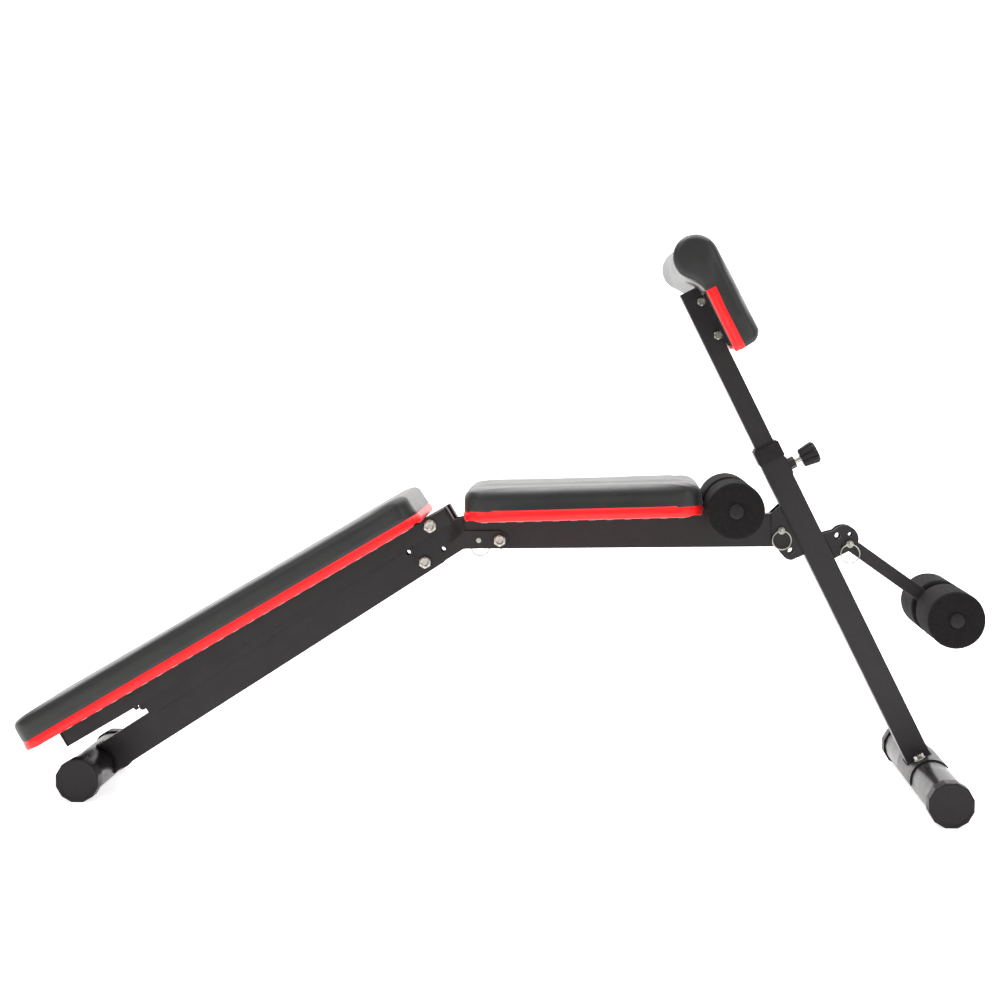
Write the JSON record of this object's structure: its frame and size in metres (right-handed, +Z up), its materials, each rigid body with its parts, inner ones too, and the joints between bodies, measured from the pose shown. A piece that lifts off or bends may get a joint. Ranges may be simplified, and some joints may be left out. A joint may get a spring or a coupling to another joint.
{
  "type": "adjustable weight bench",
  "caption": "Adjustable weight bench: tilting padded backrest, flat seat, foam rollers and an arm pad sliding on a leaning post, on a folding tube frame.",
  "frame": {"origin": "on the floor, under the middle of the bench", "axes": "+X from the backrest towards the front post, +Y across the bench, +Z up"},
  "size_m": [1.4496, 0.446, 0.8452],
  "materials": {
    "powder_coat": "satin charcoal powder coat on steel tube",
    "gloss_coat": "gloss black coat on steel tube",
    "leatherette": "grained black leatherette over foam",
    "red_leatherette": "bright red leatherette side band",
    "board": "board under a stapled black cloth",
    "foam": "dense black closed-cell foam",
    "plastic": "moulded black plastic",
    "zinc": "bright zinc-plated steel"
  },
  "bodies": {
    "seat": {"seat_frame": "powder_coat", "seat_cushion": "leatherette", "seat_band": "red_leatherette", "seat_board": "board", "seat_roller_shaft": "zinc", "seat_roller_shaft_plug_near": "plastic", "seat_roller_shaft_plug_far": "plastic"},
    "seat_roller_near": {"seat_roller_foam_near": "foam"},
    "seat_roller_far": {"seat_roller_foam_far": "foam"},
    "rear_leg": {"rear_frame": "powder_coat", "centre_plate_near": "powder_coat", "centre_plate_far": "powder_coat", "bracket_bolt": "zinc", "bracket_nut": "zinc", "rear_pivot_bolt": "zinc", "rear_pivot_nut": "zinc", "backrest_pivot_sleeve": "zinc", "rear_foot_tube": "gloss_coat", "rear_foot_cap_near": "plastic", "rear_foot_cap_far": "plastic", "strut_hinge_pin": "zinc"},
    "rear_lock_pin": {"rear_lock_pin": "zinc"},
    "rear_lock_ring": {"rear_lock_ring": "zinc"},
    "strut": {"strut": "powder_coat"},
    "backrest": {"backrest_frame": "powder_coat", "backrest_cushion": "leatherette", "backrest_band": "red_leatherette", "backrest_board": "board", "backrest_pivot_bolt": "zinc", "backrest_pivot_nut": "zinc", "rail_plug_upper_near": "plastic", "rail_plug_lower_near": "plastic", "rail_plug_upper_far": "plastic", "rail_plug_lower_far": "plastic"},
    "front_post": {"front_frame": "powder_coat", "post_collar": "plastic", "front_foot_tube": "gloss_coat", "front_foot_cap_near": "plastic", "front_foot_cap_far": "plastic", "front_foot_bolt_near": "zinc", "front_foot_bolt_far": "zinc"},
    "plunger": {"pull_plunger": "zinc", "pull_knob": "plastic"},
    "front_pin": {"front_pin": "zinc"},
    "front_ring": {"front_ring": "zinc"},
    "leg_pin": {"leg_pin": "zinc"},
    "leg_ring": {"leg_ring": "zinc"},
    "arm_post": {"inner_post": "powder_coat", "arm_pad_bolt_1": "zinc", "arm_pad_bolt_2": "zinc", "arm_pad_cushion": "leatherette", "arm_pad_band": "red_leatherette", "arm_pad_board": "board"},
    "leg_bar": {"leg_bar": "powder_coat", "leg_roller_shaft": "zinc", "leg_roller_shaft_plug_near": "plastic", "leg_roller_shaft_plug_far": "plastic"},
    "leg_roller_near": {"leg_roller_foam_near": "foam"},
    "leg_roller_far": {"leg_roller_foam_far": "foam"}
  },
  "joints": [
    {"name": "rear_fold", "type": "hinge", "parent": "seat", "child": "rear_leg", "pos_m": [0.0059, 0, 0.389], "axis": [0, -1, 0], "range_deg": [0, 95]},
    {"name": "rear_lock_slide", "type": "slide", "parent": "rear_leg", "child": "rear_lock_pin", "axis": [0, 1, 0], "range_m": [0, 0.04]},
    {"name": "rear_lock_ring_swing", "type": "hinge", "parent": "rear_lock_pin", "child": "rear_lock_ring", "pos_m": [-0.0263, 0.0265, 0.3888], "axis": [1, 0, 0], "range_deg": [0, 100]},
    {"name": "backrest_tilt", "type": "hinge", "parent": "rear_leg", "child": "backrest", "pos_m": [-0.0986, 0, 0.413], "axis": [0, 1, 0], "range_deg": [0, 58]},
    {"name": "strut_swing", "type": "hinge", "parent": "rear_leg", "child": "strut", "pos_m": [-0.30874, 0, 0.27757], "axis": [0, 1, 0], "range_deg": [0, 102]},
    {"name": "front_fold", "type": "hinge", "parent": "seat", "child": "front_post", "pos_m": [0.43393, 0, 0.40583], "axis": [0, 1, 0], "range_deg": [0, 30]},
    {"name": "front_pin_slide", "type": "slide", "parent": "front_post", "child": "front_pin", "axis": [0, -1, 0], "range_m": [0, 0.045]},
    {"name": "front_ring_swing", "type": "hinge", "parent": "front_pin", "child": "front_ring", "pos_m": [0.43393, -0.0265, 0.40583], "axis": [-1, 0, 0], "range_deg": [0, 100]},
    {"name": "leg_pin_slide", "type": "slide", "parent": "front_post", "child": "leg_pin", "axis": [0, -1, 0], "range_m": [0, 0.045]},
    {"name": "leg_ring_swing", "type": "hinge", "parent": "leg_pin", "child": "leg_ring", "pos_m": [0.53704, -0.0265, 0.38594], "axis": [-1, 0, 0], "range_deg": [0, 100]},
    {"name": "leg_bar_swing", "type": "hinge", "parent": "front_post", "child": "leg_bar", "pos_m": [0.53704, 0, 0.38594], "axis": [0, -1, 0], "range_deg": [0, 75]},
    {"name": "leg_roller_near_spin", "type": "hinge", "parent": "leg_bar", "child": "leg_roller_near", "pos_m": [0.67968, 0, 0.28456], "axis": [0, 1, 0], "continuous": true},
    {"name": "leg_roller_far_spin", "type": "hinge", "parent": "leg_bar", "child": "leg_roller_far", "pos_m": [0.67968, 0, 0.28456], "axis": [0, 1, 0], "continuous": true},
    {"name": "seat_roller_near_spin", "type": "hinge", "parent": "seat", "child": "seat_roller_near", "pos_m": [0.3574, 0, 0.443], "axis": [0, 1, 0], "continuous": true},
    {"name": "seat_roller_far_spin", "type": "hinge", "parent": "seat", "child": "seat_roller_far", "pos_m": [0.3574, 0, 0.443], "axis": [0, 1, 0], "continuous": true},
    {"name": "arm_post_slide", "type": "slide", "parent": "front_post", "child": "arm_post", "axis": [-0.4462, 0, 0.8949], "range_m": [-0.14, 0.08]},
    {"name": "pull_pin_slide", "type": "slide", "parent": "front_post", "child": "plunger", "axis": [0.8949, 0, 0.4462], "range_m": [0, 0.005], "stiffness_N_per_m": 600, "springref_m": -0.01}
  ],
  "couplings": [
    {"joint": "strut_swing", "follows": "backrest_tilt", "ratio": 1.75}
  ]
}
